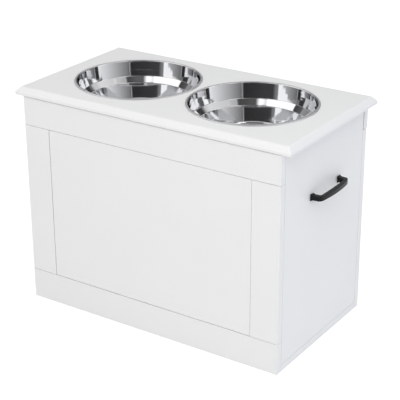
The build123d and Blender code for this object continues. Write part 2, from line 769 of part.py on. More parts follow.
# ---------------------------------------------------------------- screws and joinery
def wood_screws(spots, direction, radius, head_radius, length):
    """Countersunk screws whose heads lie flush at the spots, added to the open part."""
    with Locations(*facing(spots, direction)):
        Cylinder(radius, length, align=MAX_Z)
        Cone(radius, head_radius, head_radius - radius, align=MAX_Z)


small_screw = (hinge_screw_diameter / 2, hinge_screw_head / 2, hinge_screw_length)

with BuildPart() as cabinet_hinge_screw_set:
    wood_screws(cabinet_hinge_screws, BACK, *small_screw)
save(cabinet_hinge_screw_set.part, "cabinet_hinge_screws")

with BuildPart() as lid_hinge_screw_set:
    wood_screws(lid_hinge_screws, DOWN, *small_screw)
save(lid_hinge_screw_set.part, "lid_hinge_screws")

with BuildPart() as bracket_screw_set:
    wood_screws(bracket_screws, DOWN, *small_screw)
save(bracket_screw_set.part, "stay_bracket_screws")

with BuildPart() as base_screws:
    base_screw_spots = [
        spot for sign in (-1, 1) for spot in on_side(sign, base_screw_y, (seat_gap,))
    ]
    wood_screws(
        base_screw_spots,
        DOWN,
        base_screw_diameter / 2,
        base_screw_head / 2,
        base_screw_length,
    )
save(base_screws.part, "base_screws")


def add_dowels(points, direction, face_depth):
    """Add dowels that reach face_depth along the direction and the rest of their length back."""
    feet = [plane.offset(face_depth - dowel_length) for plane in facing(points, direction)]
    with Locations(*feet):
        Cylinder(dowel_radius, dowel_length, align=MIN_Z)


with BuildPart() as dowels:
    for sign in (-1, 1):
        add_dowels(on_side(sign, (frame_back_y,), frame_dowel_z), FRONT, dowel_face_depth)
        add_dowels(on_side(sign, (back_panel_y,), back_dowel_z), BACK, dowel_face_depth)
        add_dowels(on_side(sign, base_dowel_y, (board,)), DOWN, dowel_face_depth)
        for joint_z in (bottom_rail_height, top_rail_z):
            add_dowels(stile_joints(sign, joint_z), UP, dowel_length / 2)
    add_dowels(back_rail_joints, UP, dowel_length / 2)
save(dowels.part, "dowels")

cam_edges = ((frame_back_y, FRONT), (back_panel_y, BACK))

with BuildPart() as cam_nuts:
    for sign in (-1, 1):
        for edge_y, edge_facing in cam_edges:
            cam_y = edge_y - edge_facing[1] * cam_distance
            cam_faces = facing([(sign * side_inner_x, cam_y, z) for z in cam_z], inward(sign))
            with Locations(*cam_faces):
                Cylinder(cam_radius, cam_height, align=MAX_Z)
                for slot_size in ((cam_radius, cam_driver_width), (cam_driver_width, cam_radius)):
                    Box(*slot_size, 2 * cam_driver_depth, mode=Mode.SUBTRACT)
            with Locations(*facing(on_side(sign, (edge_y,), cam_z), edge_facing)):
                Hole(cam_bolt_head / 2 + drill_clearance, depth=cam_distance)
save(cam_nuts.part, "cam_nuts")

with BuildPart() as cam_bolts:
    for sign in (-1, 1):
        for edge_y, edge_facing in cam_edges:
            bolt_planes = facing(on_side(sign, (edge_y,), cam_z), edge_facing)
            bolt_tail = cam_distance - face_gap
            with Locations(*[plane.offset(-bolt_tail) for plane in bolt_planes]):
                Cylinder(cam_bolt_diameter / 2, bolt_tail + cam_bolt_bite, align=MIN_Z)
                Cylinder(cam_bolt_head / 2, cam_bolt_head / 2, align=MIN_Z)
save(cam_bolts.part, "cam_bolts")
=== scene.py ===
"""Dressed model of an elevated dog feeder: a board cabinet, a hinged lid and two steel bowls.

Metres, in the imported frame: +X is right as seen from the front, +Y back, +Z up, origin on the floor.
"""

import sys
import json
import logging
import math
from contextlib import contextmanager
from dataclasses import dataclass
from enum import Enum
from typing import Callable, Iterator

import bmesh
import bpy
from mathutils import Matrix, Vector


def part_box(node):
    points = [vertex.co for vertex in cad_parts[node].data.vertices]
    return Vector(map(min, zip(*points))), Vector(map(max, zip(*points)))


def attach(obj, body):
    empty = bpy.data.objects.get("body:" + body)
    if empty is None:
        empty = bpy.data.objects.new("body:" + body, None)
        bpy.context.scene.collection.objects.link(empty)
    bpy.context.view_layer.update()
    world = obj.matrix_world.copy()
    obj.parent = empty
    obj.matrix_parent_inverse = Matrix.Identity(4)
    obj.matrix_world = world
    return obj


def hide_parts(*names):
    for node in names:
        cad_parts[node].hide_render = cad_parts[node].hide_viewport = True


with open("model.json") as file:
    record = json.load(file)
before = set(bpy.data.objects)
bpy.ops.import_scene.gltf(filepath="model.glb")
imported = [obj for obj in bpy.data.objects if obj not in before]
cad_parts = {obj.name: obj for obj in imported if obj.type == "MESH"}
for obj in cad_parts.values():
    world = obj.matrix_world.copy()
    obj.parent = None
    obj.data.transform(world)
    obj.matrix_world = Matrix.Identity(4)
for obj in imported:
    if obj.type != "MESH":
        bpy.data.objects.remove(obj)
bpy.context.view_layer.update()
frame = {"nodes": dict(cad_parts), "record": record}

log = logging.getLogger("feeder")

MM = 0.001
SAME = 0.001 * MM  # points this near are one
CLOSE = 0.01 * MM  # places this near are level, or on the same wall
NEAR = 0.1 * MM  # places this near are on the same face or section
FACING = 0.9  # what a normal's part along an axis passes when its face looks that way
WHITE = (1.0, 1.0, 1.0, 1.0)
UP = Vector((0, 0, 1))

Colour = Triple = tuple[float, float, float]
Pair = tuple[float, float]
Box = tuple[Vector, Vector]
Piece = bpy.types.Object
Material = bpy.types.Material
Socket = bpy.types.NodeSocket


class Side(Enum):
    """The two ends of the cabinet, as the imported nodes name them."""

    LEFT = "left"
    RIGHT = "right"


# ---- shader graphs
class Graph:
    """The node tree of one material or of the world."""

    def __init__(self, owner: bpy.types.ID) -> None:
        """Start an empty tree.

        Args:
            owner: the material or the world that has it.
        """
        owner.use_nodes = True
        self.tree = owner.node_tree
        self.tree.nodes.clear()

    def node(self, kind: str, sockets: dict | None = None, **settings) -> bpy.types.Node:
        """Add a node and set or link its sockets.

        Args:
            kind: the node's type, without its ShaderNode prefix.
            sockets: what goes into its inputs, by name or number: values, other nodes' outputs or None.
            **settings: the node's own properties.

        Returns:
            The new node.
        """
        made = self.tree.nodes.new(f"ShaderNode{kind}")
        for name, value in settings.items():
            setattr(made, name, value)
        for key, value in (sockets or {}).items():
            if isinstance(value, Socket):
                self.tree.links.new(value, made.inputs[key])
            elif value is not None:
                made.inputs[key].default_value = value
        return made

    def sum(self, operation: str, *values: Socket | float) -> Socket:
        """Work out one operation of the Math node on its values."""
        return self.node("Math", dict(enumerate(values)), operation=operation).outputs[0]

    def ranged(self, value: Socket, ends: Pair, results: Pair = (0.0, 1.0), soft: bool = False) -> Socket:
        """Map a value between two ends onto two results, leaving the ends gently if it is soft."""
        sockets = dict(enumerate((value, *ends, *results)))
        return self.node("MapRange", sockets, interpolation_type=("LINEAR", "SMOOTHSTEP")[soft]).outputs[0]

    def noise(self, place: Socket, scale: float, detail: float = 2.0) -> Socket:
        """A noise from 0 to 1, with so many features per metre and so many octaves."""
        return self.node("TexNoise", {"Vector": place, "Scale": scale, "Detail": detail}).outputs["Fac"]

    def spread(self, noise: Socket, low: float = 0.0, high: float = 1.0) -> Socket:
        """Stretch the busy middle of a noise over a range, from low to high."""
        return self.ranged(noise, (0.3, 0.7), (low, high))

    def blend(self, share: Socket, first: Socket, second: Socket) -> Socket:
        """Mix two values, by the share of the second."""
        return self.node("Mix", {0: share, 2: first, 3: second}, data_type="FLOAT").outputs[0]

    def tones(self, share: Socket, first: Socket | Colour, second: Colour) -> Socket:
        """Mix two colours, by the share of the second; the first may be another node's output."""
        start = first if isinstance(first, Socket) else (*first, 1.0)
        return self.node("Mix", {0: share, 6: start, 7: (*second, 1.0)}, data_type="RGBA").outputs[2]

    def bump(self, height: Socket, depth: float, strength: float, normal: Socket | None = None) -> Socket:
        """Turn a height from 0 to 1, so many metres deep, into a normal that is laid over another."""
        sockets = {"Height": height, "Distance": depth, "Strength": strength, "Normal": normal}
        return self.node("Bump", sockets).outputs["Normal"]


def shaded(colour: Colour, factor: float) -> Colour:
    """A colour made lighter or darker by a factor."""
    return tuple(channel * factor for channel in colour)


# ---- finishes
class Finish:
    """A material with one Principled shader, whose patterns keep to the object's coordinates.

    A finish that draws nothing of its own has a cloudy tone and a fine grain, which also varies its
    gloss. Cloud and grain are features per metre and octaves, shades the factors of the colour between
    which the clouds vary, relief the grain's depth and strength, and waves the features per metre, the
    depth and the strength of a longer relief under it.
    """

    name: str
    colour: Colour
    cloud: Pair
    grain: Pair
    shades: Pair
    rough: Pair
    relief: Pair
    waves: Triple | None = None
    stretch: Triple = (1.0, 1.0, 1.0)
    metallic: float = 0.0
    specular: float = 0.5
    translucence: float = 0.0

    def sockets(self, graph: Graph, place: Socket) -> dict:
        """Draw the finish.

        Args:
            graph: the material's tree.
            place: the object's coordinates.

        Returns:
            What goes into the shader's inputs, by name.
        """
        drawn = graph.node("Mapping", {"Vector": place, "Scale": self.stretch}).outputs[0]
        grain = graph.noise(drawn, *self.grain)
        cloud = graph.spread(graph.noise(place, *self.cloud))
        dark, light = (shaded(self.colour, shade) for shade in self.shades)
        under = None
        if self.waves:
            scale, depth, strength = self.waves
            under = graph.bump(graph.noise(place, scale), depth, strength)
        return {
            "Base Color": graph.tones(cloud, dark, light),
            "Metallic": self.metallic,
            "Roughness": graph.spread(grain, *self.rough),
            "Normal": graph.bump(grain, *self.relief, under),
            "Specular IOR Level": self.specular,
            "Subsurface Weight": self.translucence,
            "Subsurface Scale": 1.0 * MM,
        }

    def material(self) -> Material:
        """Build the finish.

        Returns:
            The material.
        """
        made = bpy.data.materials.new(self.name)
        graph = Graph(made)
        place = graph.node("TexCoord").outputs["Object"]
        shader = graph.node("BsdfPrincipled", self.sockets(graph, place)).outputs[0]
        graph.node("OutputMaterial", {"Surface": shader})
        return made


class PaintedBoard(Finish):
    """Satin white paint, sprayed on fibreboard, with a fine orange peel."""

    name = "satin_white_paint"
    colour = (0.868, 0.872, 0.872)
    cloud = (7.0, 2.0)
    grain = (950.0, 2.0)
    shades = (0.988, 1.0)
    rough = (0.4, 0.52)
    relief = (0.02 * MM, 0.35)
    waves = (110.0, 0.03 * MM, 0.5)
    specular = 0.42


class BlackCoat(Finish):
    """Satin black powder coat on cast metal, slightly rubbed."""

    name = "satin_black_coat"
    colour = (0.006, 0.0063, 0.0072)
    cloud = (90.0, 3.0)
    grain = (1600.0, 3.0)
    shades = (0.8, 1.5)
    rough = (0.28, 0.4)
    relief = (0.05 * MM, 0.5)
    specular = 0.15


class PlatedSteel(Finish):
    """Zinc-plated steel with a faint grain, drawn out by rolling."""

    name = "zinc_plated_steel"
    colour = (0.62, 0.63, 0.64)
    cloud = (160.0, 2.0)
    grain = (320.0, 3.0)
    shades = (0.86, 1.0)
    rough = (0.26, 0.42)
    relief = (0.01 * MM, 0.3)
    stretch = (1.0, 12.0, 12.0)
    metallic = 1.0


class CastZinc(Finish):
    """Bare die-cast zinc, dull and slightly blotchy."""

    name = "cast_zinc"
    colour = (0.52, 0.53, 0.55)
    cloud = grain = (420.0, 4.0)
    shades = (0.75, 1.0)
    rough = (0.42, 0.6)
    relief = (0.03 * MM, 0.4)
    metallic = 1.0


class SoftPad(Finish):
    """Milky, slightly translucent bumper rubber."""

    name = "milky_rubber"
    colour = (0.66, 0.66, 0.64)
    cloud = grain = (900.0, 3.0)
    shades = (0.92, 1.0)
    rough = (0.45, 0.6)
    relief = (0.02 * MM, 0.3)
    translucence = 0.2


@dataclass(frozen=True)
class PolishedSteel(Finish):
    """Stainless steel: a mirror inside, satin on the rim and outside, with the wheel's fine rings."""

    name: str
    centre: Triple
    rim: float
    colour: Colour = (0.88, 0.885, 0.9)
    smeared: float = 0.97
    dull_colour: Colour = (0.56, 0.565, 0.575)
    smears: Pair = (24.0, 4.0)
    rings: Pair = (1500.0, 3.0)
    relief: Pair = (0.002 * MM, 0.2)
    mirror_rough: Pair = (0.03, 0.06)
    rim_rough: Pair = (0.42, 0.55)
    outer_rough: Pair = (0.24, 0.36)
    rim_fade: float = 0.4 * MM

    def sockets(self, graph: Graph, place: Socket) -> dict:
        """Draw rings round the bowl's own axis and dull the rim and the faces marked outside.

        Args:
            graph: the material's tree.
            place: the object's coordinates.

        Returns:
            What goes into the shader's inputs, by name.
        """
        own = graph.node("Mapping", {"Vector": place, "Location": -Vector(self.centre)}).outputs[0]
        along, across, up = graph.node("SeparateXYZ", {"Vector": own}).outputs
        plan = graph.node("CombineXYZ", {"X": along, "Y": across}).outputs[0]
        radius = graph.node("VectorMath", {0: plan}, operation="LENGTH").outputs["Value"]
        rings = graph.noise(graph.node("CombineXYZ", {"X": radius, "Y": up}).outputs[0], *self.rings)
        smears = graph.noise(own, *self.smears)
        mirror, rim, outer = (
            graph.spread(smears, *rough) for rough in (self.mirror_rough, self.rim_rough, self.outer_rough)
        )
        tone = graph.tones(graph.spread(smears), shaded(self.colour, self.smeared), self.colour)
        on_rim = graph.ranged(radius, (self.rim - self.rim_fade, self.rim + self.rim_fade), soft=True)
        outside = graph.node("Attribute", attribute_name="outside").outputs["Fac"]
        return {
            "Base Color": graph.tones(outside, tone, self.dull_colour),
            "Metallic": 1.0,
            "Roughness": graph.blend(outside, graph.blend(on_rim, mirror, rim), outer),
            "Normal": graph.bump(rings, *self.relief),
        }


class Beech(Finish):
    """Pale beech with short brown flecks."""

    name = "beech"
    colour = (0.62, 0.42, 0.24)
    stretch = (9.0, 1.0, 9.0)
    grain = (60.0, 4.0)
    fleck = (420.0, 1.0)
    fleck_ends = (0.62, 0.7)
    shades = (0.85, 0.6)
    rough = (0.55, 0.7)
    relief = (0.05 * MM, 0.4)

    def sockets(self, graph: Graph, place: Socket) -> dict:
        """Draw a soft grain and darker flecks, both along the wood.

        Args:
            graph: the material's tree.
            place: the object's coordinates.

        Returns:
            What goes into the shader's inputs, by name.
        """
        drawn = graph.node("Mapping", {"Vector": place, "Scale": self.stretch}).outputs[0]
        grain = graph.noise(drawn, *self.grain)
        fleck = graph.noise(drawn, *self.fleck)
        dark, darkest = (shaded(self.colour, shade) for shade in self.shades)
        wood = graph.tones(graph.spread(grain), dark, self.colour)
        return {
            "Base Color": graph.tones(graph.ranged(fleck, self.fleck_ends), wood, darkest),
            "Roughness": graph.spread(grain, *self.rough),
            "Normal": graph.bump(fleck, *self.relief),
        }


# ---- modelling bench
class Part(Enum):
    """The parts of a mesh that can be picked: their list, and what a test is told of each."""

    FACE = ("faces", lambda face: (face.calc_center_median(), face.normal))
    EDGE = ("edges", lambda edge: (edge.verts[0].co, edge.verts[1].co))
    VERT = ("verts", lambda point: (point.co,))


def hold(piece: Piece) -> None:
    """Make a piece the active object and the only one selected.

    Args:
        piece: the piece.
    """
    bpy.ops.object.select_all(action="DESELECT")
    piece.select_set(True)
    bpy.context.view_layer.objects.active = piece


@contextmanager
def editing(piece: Piece) -> Iterator[None]:
    """Open a piece in edit mode for a block of operators.

    Args:
        piece: the mesh object.

    Yields:
        Nothing; edit mode is left at the end of the block.
    """
    hold(piece)
    bpy.ops.object.mode_set(mode="EDIT")
    bpy.ops.mesh.select_all(action="SELECT")
    yield
    bpy.ops.object.mode_set(mode="OBJECT")


def pick(piece: Piece, part: Part, test: Callable[..., bool]) -> None:
    """Select, in edit mode, the parts that pass a test.

    Args:
        piece: the mesh that is being edited.
        part: what is picked.
        test: takes a face's middle and its normal, an edge's two ends or a point.

    Raises:
        ValueError: none passes.
    """
    bpy.ops.mesh.select_mode(type=part.name)
    bpy.ops.mesh.select_all(action="DESELECT")
    shape = bmesh.from_edit_mesh(piece.data)
    group, facts = part.value
    found = [item for item in getattr(shape, group) if test(*facts(item))]
    if not found:
        raise ValueError(f"{piece.name}: none of its {group} to pick")
    for item in found:
        item.select_set(True)
    bmesh.update_edit_mesh(piece.data)


def block(name: str, low: Vector, high: Vector) -> Piece:
    """Add a cube primitive that fills a box.

    Args:
        name: the piece's name.
        low: the box's lowest corner.
        high: the box's highest corner.

    Returns:
        The new object.
    """
    bpy.ops.mesh.primitive_cube_add(size=1.0, location=(low + high) / 2, scale=high - low)
    made = bpy.context.object
    made.name = name
    bpy.ops.object.transform_apply()
    return made


def turned(name: str, profile: list[Pair], centre: Vector, axis: Vector, steps: int) -> Piece:
    """Draw a profile point by point and spin it round an axis.

    Args:
        name: the piece's name.
        profile: radius and height of each point.
        centre: where heights start on the axis.
        axis: the direction in which heights grow.
        steps: how many steps the full turn has.

    Returns:
        The new object.
    """
    axis = axis.normalized()
    across = axis.orthogonal().normalized()
    places = [centre + across * radius + axis * height for radius, height in profile]
    bpy.ops.mesh.primitive_plane_add(size=1.0 * MM, location=places[0])
    made = bpy.context.object
    made.name = name
    bpy.ops.object.transform_apply()
    with editing(made):
        bpy.ops.mesh.select_mode(type="VERT")
        bpy.ops.mesh.merge(type="CENTER")
        for start, end in zip(places, places[1:]):
            extrude(end - start)
        bpy.ops.mesh.select_all(action="SELECT")
        bpy.ops.mesh.spin(steps=steps, angle=math.tau, center=centre, axis=axis)
        bpy.ops.mesh.select_all(action="SELECT")
        bpy.ops.mesh.remove_doubles(threshold=2 * SAME)
        bpy.ops.mesh.normals_make_consistent(inside=False)
    return made


def apply(piece: Piece, kind: str, **settings) -> None:
    """Add a modifier and apply it.

    Args:
        piece: the object.
        kind: the modifier's type.
        **settings: its properties.
    """
    hold(piece)
    modifier = piece.modifiers.new(kind.lower(), kind)
    for name, value in settings.items():
        setattr(modifier, name, value)
    bpy.ops.object.modifier_apply(modifier=modifier.name)


def extrude(move: Vector | Triple) -> None:
    """Extrude what is selected, in edit mode, and move it."""
    bpy.ops.mesh.extrude_region_move(TRANSFORM_OT_translate={"value": move})


def ease(piece: Piece, width: float, segments: int, degrees: float) -> None:
    """Bevel the edges of a piece that turn by more than an angle."""
    turn = math.radians(degrees)
    apply(piece, "BEVEL", width=width, segments=segments, limit_method="ANGLE", angle_limit=turn)


def carve(piece: Piece, cutter: Piece) -> None:
    """Take a cutter's shape out of a piece and throw the cutter away."""
    apply(piece, "BOOLEAN", object=cutter, operation="DIFFERENCE", solver="EXACT")
    bpy.data.objects.remove(cutter)


def copy(piece: Piece, name: str, shift: Vector) -> Piece:
    """Copy a piece with a mesh of its own.

    Args:
        piece: the piece.
        name: the copy's name.
        shift: how far the copy is moved.

    Returns:
        The copy.
    """
    made = bpy.data.objects.new(name, piece.data.copy())
    bpy.context.scene.collection.objects.link(made)
    made.data.transform(Matrix.Translation(shift))
    return made


def join(name: str, pieces: list[Piece]) -> Piece:
    """Join pieces into one.

    Args:
        name: the joined piece's name.
        pieces: what is joined.

    Returns:
        The joined object.
    """
    hold(pieces[0])
    for piece in pieces:
        piece.select_set(True)
    bpy.ops.object.join()
    pieces[0].name = name
    return pieces[0]


def repeat(name: str, first: Piece, boxes: list[Box]) -> Piece:
    """Copy a piece from the first of several boxes to the others and join the lot."""
    shifts = [middle(box) - middle(boxes[0]) for box in boxes[1:]]
    return join(name, [first, *(copy(first, name, shift) for shift in shifts)])


def shade(piece: Piece, degrees: float) -> None:
    """Shade a piece smoothly, except at edges that turn by more than an angle."""
    hold(piece)
    bpy.ops.object.shade_smooth_by_angle(angle=math.radians(degrees))


def smooth(piece: Piece, degrees: float = 35.0) -> None:
    """Shade a piece smoothly, except at its sharp edges, and keep its flats flat."""
    shade(piece, degrees)
    apply(piece, "WEIGHTED_NORMAL", keep_sharp=True, weight=80)


def solids_of(node: str) -> list[Box]:
    """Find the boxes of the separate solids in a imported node.

    Args:
        node: the node's name.

    Returns:
        The lowest and highest corner of each solid, in order of place.
    """
    shape = bmesh.new()
    shape.from_mesh(frame["nodes"][node].data)
    bmesh.ops.remove_doubles(shape, verts=shape.verts, dist=SAME)
    unseen, boxes = set(shape.verts), []
    while unseen:
        front, group = [unseen.pop()], []
        while front:
            point = front.pop()
            group.append(point.co.copy())
            for edge in point.link_edges:
                other = edge.other_vert(point)
                if other in unseen:
                    unseen.remove(other)
                    front.append(other)
        low = Vector(min(co[i] for co in group) for i in range(3))
        high = Vector(max(co[i] for co in group) for i in range(3))
        boxes.append((low, high))
    shape.free()
    return sorted(boxes, key=lambda box: tuple(round(value, 4) for value in box[0]))


def middle(box: Box) -> Vector:
    """The middle of a box."""
    return (box[0] + box[1]) / 2


def rounded(corners: list[Triple], longest: float, turn: float = 9.0) -> list[Pair]:
    """Round the corners of an open outline and divide its long runs.

    Args:
        corners: each corner's radius from the axis, its height and the radius that rounds it.
        longest: the longest run that is left undivided.
        turn: the most degrees that one step of a rounding turns.

    Returns:
        The points of the rounded outline.
    """
    points = [Vector(corners[0][:2])]
    for before, here, after in zip(corners, corners[1:], corners[2:]):
        corner = Vector(here[:2])
        back = (Vector(before[:2]) - corner).normalized()
        ahead = (Vector(after[:2]) - corner).normalized()
        bend = math.pi - back.angle(ahead)
        reach = here[2] * math.tan(bend / 2)
        hub = corner + (back + ahead).normalized() * here[2] / math.cos(bend / 2)
        start = corner + back * reach - hub
        steps = max(2, math.ceil(math.degrees(bend) / turn))
        spin = bend / steps * (1 if back.cross(ahead) < 0 else -1)
        points += [hub + Matrix.Rotation(spin * step, 2) @ start for step in range(steps + 1)]
    points.append(Vector(corners[-1][:2]))
    divided = [points[0]]
    for start, end in zip(points, points[1:]):
        parts = max(1, math.ceil((end - start).length / longest))
        divided += [start.lerp(end, part / parts) for part in range(1, parts + 1)]
    return [(point.x, point.y) for point in divided]


# ---- handing over
class Workshop:
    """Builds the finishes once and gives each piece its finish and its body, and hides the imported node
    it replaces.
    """

    def __init__(self) -> None:
        """Build the finishes that pieces share, by their slot in the record."""
        self.finishes = {
            "painted_board": PaintedBoard().material(),
            "black_metal": BlackCoat().material(),
            "plated_steel": PlatedSteel().material(),
            "zinc": CastZinc().material(),
            "beech": Beech().material(),
            "bumper_rubber": SoftPad().material(),
        }
        groups = frame["record"]["behaviour"]["bodies"]
        self.body_of = {node: body for body, nodes in groups.items() for node in nodes}

    def keep(self, node: str, slot: str) -> None:
        """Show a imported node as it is, in the finish of its slot.

        Args:
            node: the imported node.
            slot: the record's material slot.
        """
        piece, finish = frame["nodes"][node], self.finishes[slot]
        if not piece.material_slots:
            piece.data.materials.append(finish)
        for place in piece.material_slots:
            place.link = "OBJECT"
            place.material = finish
        log.info("%s: packed piece in %s", node, slot)

    def hand_over(self, piece: Piece, slot: str, node: str, finish: Material | None = None) -> None:
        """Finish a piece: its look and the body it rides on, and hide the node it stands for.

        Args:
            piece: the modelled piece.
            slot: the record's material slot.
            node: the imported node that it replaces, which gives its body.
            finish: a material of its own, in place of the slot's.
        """
        piece.data.materials.clear()
        piece.data.materials.append(finish or self.finishes[slot])
        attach(piece, self.body_of[node])
        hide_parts(node)
        log.info("%s: %d faces, for %s", piece.name, len(piece.data.polygons), node)

    def refine(self, node: str, name: str, slot: str, edge: float, reveal: float = 0.0) -> Piece:
        """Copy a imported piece, merge its triangles, ease its sharp edges and smooth its round faces.

        Args:
            node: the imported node.
            name: the new piece's name.
            slot: the record's material slot.
            edge: the width of the eased edges.
            reveal: how far its faces draw back, which leaves a fine line at each joint.

        Returns:
            The refined piece.
        """
        piece = copy(frame["nodes"][node], name, Vector())
        with editing(piece):
            bpy.ops.mesh.remove_doubles(threshold=SAME)
            bpy.ops.mesh.dissolve_limited(angle_limit=math.radians(0.5))
            if reveal:
                bpy.ops.transform.shrink_fatten(value=-reveal, use_even_offset=True)
        ease(piece, edge, segments=2, degrees=50)
        smooth(piece)
        self.hand_over(piece, slot, node)
        return piece


# ---- sub-assemblies
@dataclass
class Cabinet:
    """The boards of the cabinet and the fittings that hold them together."""

    boards: tuple[str, ...] = (
        *("bottom_board", "left_side_panel", "right_side_panel", "front_top_rail", "front_bottom_rail"),
        *("front_left_stile", "front_right_stile", "front_panel", "back_panel", "back_top_rail"),
    )
    board_edge: float = 0.5 * MM
    reveal: float = 0.4 * MM
    panel_rise: float = 2.3 * MM
    rail_rise: float = 0.4 * MM
    cam_edge: float = 0.25 * MM

    def build(self, shop: Workshop) -> None:
        """Ease and paint the boards, draw two of their faces out, and dress dowels, cams and bolts.

        Args:
            shop: the workshop that finishes the pieces.
        """
        made = {
            board: shop.refine(board, f"painted_{board}", "painted_board", self.board_edge, self.reveal)
            for board in self.boards
        }
        rim = self.reveal + self.board_edge + NEAR
        face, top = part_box("front_panel")[0].y + rim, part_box("front_top_rail")[1].z - rim
        for board, test, move in (
            ("front_panel", lambda point: point.y < face, (0, -self.panel_rise, 0)),
            ("front_top_rail", lambda point: point.z > top, (0, 0, self.rail_rise)),
        ):
            with editing(made[board]):
                pick(made[board], Part.VERT, test)
                bpy.ops.transform.translate(value=move)
        shop.keep("dowels", "beech")
        shop.keep("cam_bolts", "plated_steel")
        shop.refine("cam_nuts", "cam_locks", "zinc", self.cam_edge)


@dataclass
class Lid:
    """The lid board, with its moulded edge and two bowl holes, and the pads under it."""

    bevel_inset: float = 8.5 * MM
    bevel_drop: float = 10.0 * MM
    corner_radius: float = 3.0 * MM
    crease_radius: float = 5.0 * MM
    lower_crease: float = 0.5 * MM
    under_radius: float = 0.7 * MM
    hole_radius: float = 120.0 * MM
    hole_ease: float = 0.7 * MM
    hole_steps: int = 144
    cutter_depth: float = 200.0 * MM
    pad_edge: float = 0.1 * MM
    pad_dome: float = 1.2 * MM
    pad_run: float = 2.0 * MM
    pad_steps: int = 32

    def board(self) -> Piece:
        """Shape the lid board.

        Returns:
            The board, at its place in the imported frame.
        """
        low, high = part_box("lid_board")
        size = high - low
        shoulder = high.z - self.bevel_drop
        board = block("lid_with_moulded_edge", low, Vector((high.x, high.y, shoulder)))
        with editing(board):
            pick(board, Part.EDGE, lambda a, b: abs(a.z - b.z) > MM)
            bpy.ops.mesh.bevel(offset=self.corner_radius, segments=5)
            pick(board, Part.FACE, lambda spot, normal: normal.z > FACING)
            extrude((0, 0, self.bevel_drop))
            shrink = (1 - 2 * self.bevel_inset / size.x, 1 - 2 * self.bevel_inset / size.y, 1)
            bpy.ops.transform.resize(value=shrink, center_override=(low + high) / 2)
            slope = math.atan2(self.bevel_drop, self.bevel_inset)
            for level, offset, segments in (
                (high.z, self.crease_radius * math.tan(slope / 2), 4),
                (shoulder, self.lower_crease, 2),
                (low.z, self.under_radius, 4),
            ):
                pick(board, Part.EDGE, lambda a, b: max(abs(a.z - level), abs(b.z - level)) < CLOSE)
                bpy.ops.mesh.bevel(offset=offset, segments=segments)
        for side in Side:
            self.bowl_hole(board, middle(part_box(f"{side.value}_bowl")))
        smooth(board)
        return board

    def bowl_hole(self, board: Piece, centre: Vector) -> None:
        """Cut one round hole through the lid and ease its edges.

        Args:
            board: the lid board.
            centre: a point on the hole's axis.
        """
        bpy.ops.mesh.primitive_cylinder_add(
            vertices=self.hole_steps, radius=self.hole_radius, depth=self.cutter_depth, location=centre
        )
        carve(board, bpy.context.object)

        def on_rim(point: Vector) -> bool:
            """True for a point on the hole's wall."""
            return abs((point.xy - centre.xy).length - self.hole_radius) < CLOSE

        with editing(board):
            pick(board, Part.EDGE, lambda a, b: on_rim(a) and on_rim(b) and abs(a.z - b.z) < CLOSE)
            bpy.ops.mesh.bevel(offset=self.hole_ease, segments=2)

    def pads(self) -> Piece:
        """Turn one domed pad and copy it under each corner of the lid.

        Returns:
            The four pads as one piece.
        """
        boxes = solids_of("lid_bumpers")
        low, high = boxes[0]
        radius, height = (high.x - low.x) / 2, high.z - low.z
        outline = [(0, 0, 0), (radius, 0, self.pad_edge), (radius, height, self.pad_dome), (0, height, 0)]
        profile = rounded(outline, self.pad_run)
        top = Vector((*middle(boxes[0]).xy, high.z))
        first = turned("pad", profile, top, -UP, self.pad_steps)
        smooth(first)
        return repeat("soft_lid_pads", first, boxes)

    def build(self, shop: Workshop) -> None:
        """Build the lid and its pads."""
        shop.hand_over(self.board(), "painted_board", "lid_board")
        shop.hand_over(self.pads(), "bumper_rubber", "lid_bumpers")


